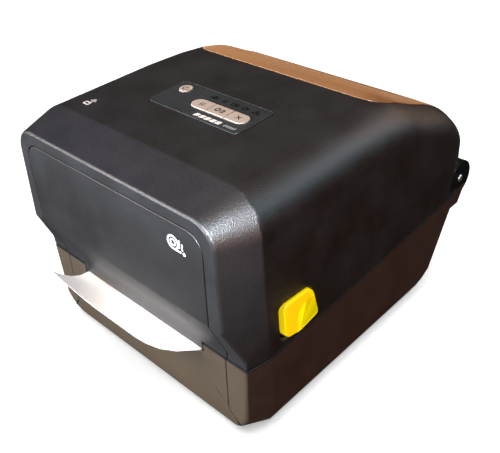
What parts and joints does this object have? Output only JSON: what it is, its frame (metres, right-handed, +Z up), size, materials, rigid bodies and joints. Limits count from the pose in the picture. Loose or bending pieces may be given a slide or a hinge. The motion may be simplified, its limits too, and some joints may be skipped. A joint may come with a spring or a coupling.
{
  "type": "thermal label printer",
  "caption": "Desktop direct-thermal label printer with a hinged top cover, media window, side latches, control keys and a loaded label roll.",
  "frame": {"origin": "on the table surface under the middle of the outer box, label tip and hinge ears included", "axes": "+X to the right seen from the front, +Y from the label slot towards the hinge, +Z up"},
  "size_m": [0.1816, 0.2345, 0.1508],
  "materials": {
    "black_plastic": "fine textured black moulding",
    "dark_grey_plastic": "fine textured dark grey moulding",
    "window_plastic": "smoked clear plastic, polished",
    "panel_grey": "dark grey satin moulding",
    "latch_yellow": "bright yellow satin moulding",
    "button_beige": "pale satin moulding with printed signs",
    "base_plastic": "fine textured black moulding",
    "foot_rubber": "matte black rubber",
    "roller_rubber": "ground black rubber",
    "steel": "bright turned steel",
    "spring_steel": "drawn spring wire",
    "sheet_steel": "zinc plated sheet",
    "nylon": "natural nylon moulding",
    "bracket_aluminium": "plain pressed aluminium",
    "head_ceramic": "glazed ceramic heater strip",
    "label_paper": "smooth coated white paper",
    "core_card": "wound brown card",
    "circuit_board": "green solder resist",
    "socket_black": "black moulding"
  },
  "bodies": {
    "base": {"base_housing": "base_plastic", "front_bezel": "base_plastic", "bottom_plate": "base_plastic", "foot_front_left": "foot_rubber", "foot_front_right": "foot_rubber", "foot_rear_left": "foot_rubber", "foot_rear_right": "foot_rubber", "media_tray": "dark_grey_plastic", "main_board": "circuit_board", "port_recess": "dark_grey_plastic", "power_inlet": "socket_black", "usb_device_port": "sheet_steel", "usb_host_port": "sheet_steel", "base_screw_front_left": "steel", "base_screw_front_right": "steel", "base_screw_rear_left": "steel", "base_screw_rear_right": "steel", "hinge_pin_left": "steel", "hinge_pin_right": "steel", "feed_deck": "dark_grey_plastic", "platen_bearing_left": "nylon", "platen_bearing_right": "nylon", "gear_plate": "sheet_steel", "drive_motor": "sheet_steel", "label_strip": "label_paper"},
    "cover": {"top_cover": "black_plastic", "front_panel": "black_plastic", "media_window": "window_plastic", "control_panel": "panel_grey", "control_board": "circuit_board", "head_frame": "dark_grey_plastic", "head_spring_left": "spring_steel", "head_spring_right": "spring_steel", "tear_bar": "sheet_steel"},
    "latch_left": {"latch_left": "latch_yellow"},
    "latch_right": {"latch_right": "latch_yellow"},
    "latch_shaft": {"latch_shaft": "steel"},
    "power_button": {"power_button": "button_beige"},
    "pause_button": {"pause_button": "button_beige"},
    "feed_button": {"feed_button": "button_beige"},
    "cancel_button": {"cancel_button": "button_beige"},
    "printhead": {"printhead": "head_ceramic", "head_bracket": "bracket_aluminium", "upper_sensor": "socket_black"},
    "platen": {"platen_roller": "roller_rubber", "platen_shaft": "steel", "platen_gear": "nylon"},
    "idler_gear": {"idler_gear": "nylon"},
    "motor_pinion": {"motor_pinion": "nylon"},
    "label_roll": {"label_roll": "label_paper", "roll_core": "core_card"},
    "media_holder_left": {"media_holder_left": "nylon"},
    "media_holder_right": {"media_holder_right": "nylon"},
    "media_hub_left": {"media_hub_left": "nylon"},
    "media_hub_right": {"media_hub_right": "nylon"},
    "holder_pinion": {"holder_pinion": "nylon"},
    "media_guide_left": {"media_guide_left": "nylon"},
    "media_guide_right": {"media_guide_right": "nylon"},
    "media_sensor": {"media_sensor": "socket_black"}
  },
  "joints": [
    {"name": "cover_hinge", "type": "hinge", "parent": "base", "child": "cover", "pos_m": [0, 0.10525, 0.071], "axis": [-1, 0, 0], "range_deg": [0, 80]},
    {"name": "latch_left_slide", "type": "slide", "parent": "cover", "child": "latch_left", "axis": [0, -1, 0], "range_m": [0, 0.002], "stiffness_N_per_m": 400, "springref_m": -0.001},
    {"name": "latch_right_slide", "type": "slide", "parent": "cover", "child": "latch_right", "axis": [0, -1, 0], "range_m": [0, 0.002]},
    {"name": "latch_shaft_turn", "type": "hinge", "parent": "cover", "child": "latch_shaft", "pos_m": [0, -0.05175, 0.066], "axis": [1, 0, 0], "range_deg": [0, 11.6]},
    {"name": "power_press", "type": "slide", "parent": "cover", "child": "power_button", "axis": [0, 0, -1], "range_m": [0, 0.0008], "stiffness_N_per_m": 600, "springref_m": -0.001},
    {"name": "pause_press", "type": "slide", "parent": "cover", "child": "pause_button", "axis": [0, 0, -1], "range_m": [0, 0.0008], "stiffness_N_per_m": 600, "springref_m": -0.001},
    {"name": "feed_press", "type": "slide", "parent": "cover", "child": "feed_button", "axis": [0, 0, -1], "range_m": [0, 0.0008], "stiffness_N_per_m": 600, "springref_m": -0.001},
    {"name": "cancel_press", "type": "slide", "parent": "cover", "child": "cancel_button", "axis": [0, 0, -1], "range_m": [0, 0.0008], "stiffness_N_per_m": 600, "springref_m": -0.001},
    {"name": "head_pivot", "type": "hinge", "parent": "cover", "child": "printhead", "pos_m": [0, -0.05775, 0.062], "axis": [-1, 0, 0], "range_deg": [0, 2.5], "stiffness_Nm_per_rad": 0.5, "springref_deg": -17.19, "deforming": ["head_spring_left", "head_spring_right"]},
    {"name": "platen_turn", "type": "hinge", "parent": "base", "child": "platen", "pos_m": [0, -0.08075, 0.0424], "axis": [1, 0, 0], "continuous": true},
    {"name": "idler_turn", "type": "hinge", "parent": "base", "child": "idler_gear", "pos_m": [0, -0.06589, 0.02902], "axis": [1, 0, 0], "continuous": true},
    {"name": "pinion_turn", "type": "hinge", "parent": "base", "child": "motor_pinion", "pos_m": [0, -0.04966, 0.02467], "axis": [1, 0, 0], "continuous": true},
    {"name": "label_roll_turn", "type": "hinge", "parent": "base", "child": "label_roll", "pos_m": [0, 0.02425, 0.072], "axis": [1, 0, 0], "continuous": true},
    {"name": "media_hub_left_turn", "type": "hinge", "parent": "media_holder_left", "child": "media_hub_left", "pos_m": [0, 0.02425, 0.072], "axis": [1, 0, 0], "continuous": true},
    {"name": "media_hub_right_turn", "type": "hinge", "parent": "media_holder_right", "child": "media_hub_right", "pos_m": [0, 0.02425, 0.072], "axis": [1, 0, 0], "continuous": true},
    {"name": "media_holder_left_slide", "type": "slide", "parent": "base", "child": "media_holder_left", "axis": [-1, 0, 0], "range_m": [0, 0.012], "stiffness_N_per_m": 60, "springref_m": -0.005},
    {"name": "media_holder_right_slide", "type": "slide", "parent": "base", "child": "media_holder_right", "axis": [1, 0, 0], "range_m": [0, 0.012]},
    {"name": "holder_pinion_turn", "type": "hinge", "parent": "base", "child": "holder_pinion", "pos_m": [0, 0.02425, 0.015], "axis": [0, 0, 1], "range_deg": [-99, 0]},
    {"name": "media_guide_left_slide", "type": "slide", "parent": "base", "child": "media_guide_left", "axis": [-1, 0, 0], "range_m": [0, 0.0045]},
    {"name": "media_guide_right_slide", "type": "slide", "parent": "base", "child": "media_guide_right", "axis": [1, 0, 0], "range_m": [0, 0.0045]},
    {"name": "media_sensor_slide", "type": "slide", "parent": "base", "child": "media_sensor", "axis": [1, 0, 0], "range_m": [-0.02, 0.02]}
  ],
  "couplings": [
    {"joint": "latch_right_slide", "follows": "latch_left_slide", "ratio": 1},
    {"joint": "latch_shaft_turn", "follows": "latch_left_slide", "rad_per_m": 100},
    {"joint": "idler_turn", "follows": "platen_turn", "ratio": -0.66667},
    {"joint": "pinion_turn", "follows": "platen_turn", "ratio": 1.6667},
    {"joint": "label_roll_turn", "follows": "platen_turn", "ratio": 0.13917},
    {"joint": "media_hub_left_turn", "follows": "platen_turn", "ratio": 0.13917},
    {"joint": "media_hub_right_turn", "follows": "platen_turn", "ratio": 0.13917},
    {"joint": "media_holder_right_slide", "follows": "media_holder_left_slide", "ratio": 1},
    {"joint": "holder_pinion_turn", "follows": "media_holder_left_slide", "rad_per_m": -142.86},
    {"joint": "media_guide_right_slide", "follows": "media_guide_left_slide", "ratio": 1}
  ]
}
